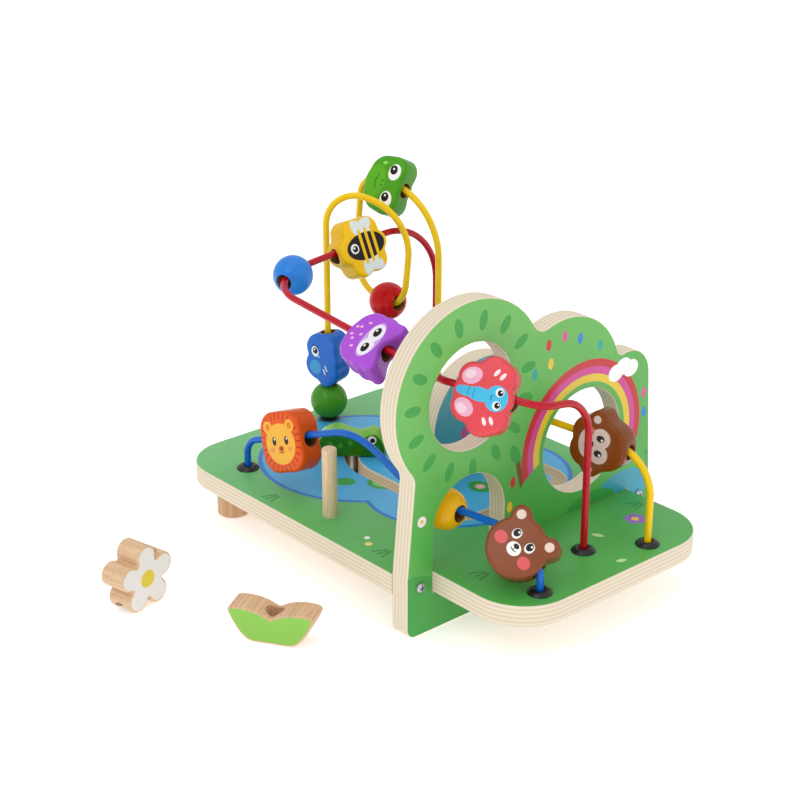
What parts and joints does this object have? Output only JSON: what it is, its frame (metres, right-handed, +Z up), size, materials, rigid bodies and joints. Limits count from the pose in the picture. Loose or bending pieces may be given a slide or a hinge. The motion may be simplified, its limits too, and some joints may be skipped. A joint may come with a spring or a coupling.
{
  "type": "bead maze",
  "caption": "Wooden bead maze: painted board and windowed upright panel, bent wires with sliding animal beads, a track with a crocodile, and a peg with loose stacking shapes.",
  "frame": {"origin": "centre of the upright panel's bottom face, on the floor", "axes": "+X along the board towards its narrow tongue, +Y across the board away from the peg's side, +Z up"},
  "size_m": [0.273, 0.2884, 0.1996],
  "materials": {
    "deck_paint": "satin paint",
    "panel_paint": "satin paint",
    "hill_paint": "satin paint",
    "beech": "satin",
    "steel": "satin",
    "grommet": "gloss",
    "yellow_enamel": "gloss",
    "red_enamel": "gloss",
    "blue_enamel": "gloss",
    "green_ball": "gloss paint",
    "red_ball": "gloss paint",
    "blue_ball": "gloss paint",
    "yellow_ball": "gloss paint",
    "frog": "satin paint",
    "bee": "satin paint",
    "owl": "satin paint",
    "bird": "satin paint",
    "lion": "satin paint",
    "butterfly": "satin paint",
    "bear": "satin paint",
    "monkey": "satin paint",
    "crocodile": "satin paint",
    "flower": "satin",
    "leaf": "satin paint"
  },
  "bodies": {
    "frame": {"deck_board": "deck_paint", "tree_panel": "panel_paint", "hill_panel": "hill_paint", "near_foot": "beech", "far_foot": "beech", "stacking_peg": "beech", "panel_screws": "steel", "foot_screws": "steel", "hill_screws": "steel", "tall_wire": "yellow_enamel", "long_wire": "red_enamel", "low_wire": "blue_enamel", "short_wire": "yellow_enamel", "tall_near_grommet": "grommet", "tall_far_grommet": "grommet", "long_far_grommet": "grommet", "long_near_grommet": "grommet", "low_rear_grommet": "grommet", "low_front_grommet": "grommet", "short_front_grommet": "grommet", "short_rear_grommet": "grommet"},
    "green_ball": {"green_ball": "green_ball"},
    "bird": {"bird_bead": "bird"},
    "red_ball": {"red_ball": "red_ball"},
    "frog": {"frog_bead": "frog"},
    "crimson_ball": {"crimson_ball": "red_ball"},
    "bee": {"bee_bead": "bee"},
    "blue_ball": {"blue_ball": "blue_ball"},
    "owl": {"owl_bead": "owl"},
    "butterfly": {"butterfly_bead": "butterfly"},
    "lion": {"lion_bead": "lion"},
    "yellow_ball": {"yellow_ball": "yellow_ball"},
    "bear": {"bear_bead": "bear"},
    "monkey": {"monkey_bead": "monkey"},
    "track_slider": {"track_pin": "beech", "track_washer": "steel", "track_screw": "steel"},
    "crocodile": {"crocodile": "crocodile"},
    "flower": {"flower_piece": "flower"},
    "leaf": {"leaf_piece": "leaf"}
  },
  "joints": [
    {"name": "green_ball_lift", "type": "slide", "parent": "frame", "child": "green_ball", "axis": [0, 0, 1], "range_m": [0, 0.028]},
    {"name": "bird_lift", "type": "slide", "parent": "green_ball", "child": "bird", "axis": [0, 0, 1], "range_m": [0, 0.034]},
    {"name": "red_ball_travel", "type": "hinge", "parent": "frame", "child": "red_ball", "pos_m": [-0.16391, 0.04062, 0.12788], "axis": [0.0322, 0.9977, -0.0591], "range_deg": [-30, 0]},
    {"name": "frog_travel", "type": "hinge", "parent": "frame", "child": "frog", "pos_m": [-0.17525, 0.04746, 0.14129], "axis": [-0.19, 0.9818, 0], "range_deg": [0, 12]},
    {"name": "crimson_ball_lift", "type": "slide", "parent": "frame", "child": "crimson_ball", "axis": [0, 0, 1], "range_m": [0, 0.05]},
    {"name": "bee_travel", "type": "slide", "parent": "frame", "child": "bee", "axis": [0, -0.994, -0.1097], "range_m": [-0.002, 0.018]},
    {"name": "blue_ball_travel", "type": "hinge", "parent": "frame", "child": "blue_ball", "pos_m": [-0.12421, -0.03055, 0.14929], "axis": [0.0812, -0.1094, 0.9907], "range_deg": [0, 42]},
    {"name": "owl_travel", "type": "slide", "parent": "frame", "child": "owl", "axis": [0.9965, -0.0095, -0.0827], "range_m": [-0.028, 0.022]},
    {"name": "butterfly_spin", "type": "hinge", "parent": "frame", "child": "butterfly", "pos_m": [0.01811, -0.05083, 0.1306], "axis": [0.8762, 0.4634, -0.1324], "continuous": true},
    {"name": "lion_travel", "type": "slide", "parent": "frame", "child": "lion", "axis": [0.9322, 0.094, 0.3494], "range_m": [-0.008, 0.018]},
    {"name": "yellow_ball_travel", "type": "slide", "parent": "frame", "child": "yellow_ball", "axis": [0.9946, 0.1003, 0.0246], "range_m": [0, 0.011]},
    {"name": "bear_travel", "type": "slide", "parent": "frame", "child": "bear", "axis": [0.8299, 0.0837, -0.5516], "range_m": [-0.0015, 0]},
    {"name": "monkey_travel", "type": "slide", "parent": "frame", "child": "monkey", "axis": [-0.9679, -0.238, 0.0802], "range_m": [-0.003, 0.003]},
    {"name": "track_travel", "type": "hinge", "parent": "frame", "child": "track_slider", "pos_m": [-0.108, 0.01897, 0], "axis": [0, 0, 1], "range_deg": [0, 40]},
    {"name": "crocodile_swivel", "type": "hinge", "parent": "track_slider", "child": "crocodile", "pos_m": [-0.13717, -0.01124, 0.0345], "axis": [0, 0, 1], "continuous": true},
    {"name": "flower_lift", "type": "slide", "parent": "frame", "child": "flower", "axis": [0, 0, 1], "range_m": [0, 0.06]},
    {"name": "leaf_lift", "type": "slide", "parent": "frame", "child": "leaf", "axis": [0, 0, 1], "range_m": [0, 0.06]}
  ]
}
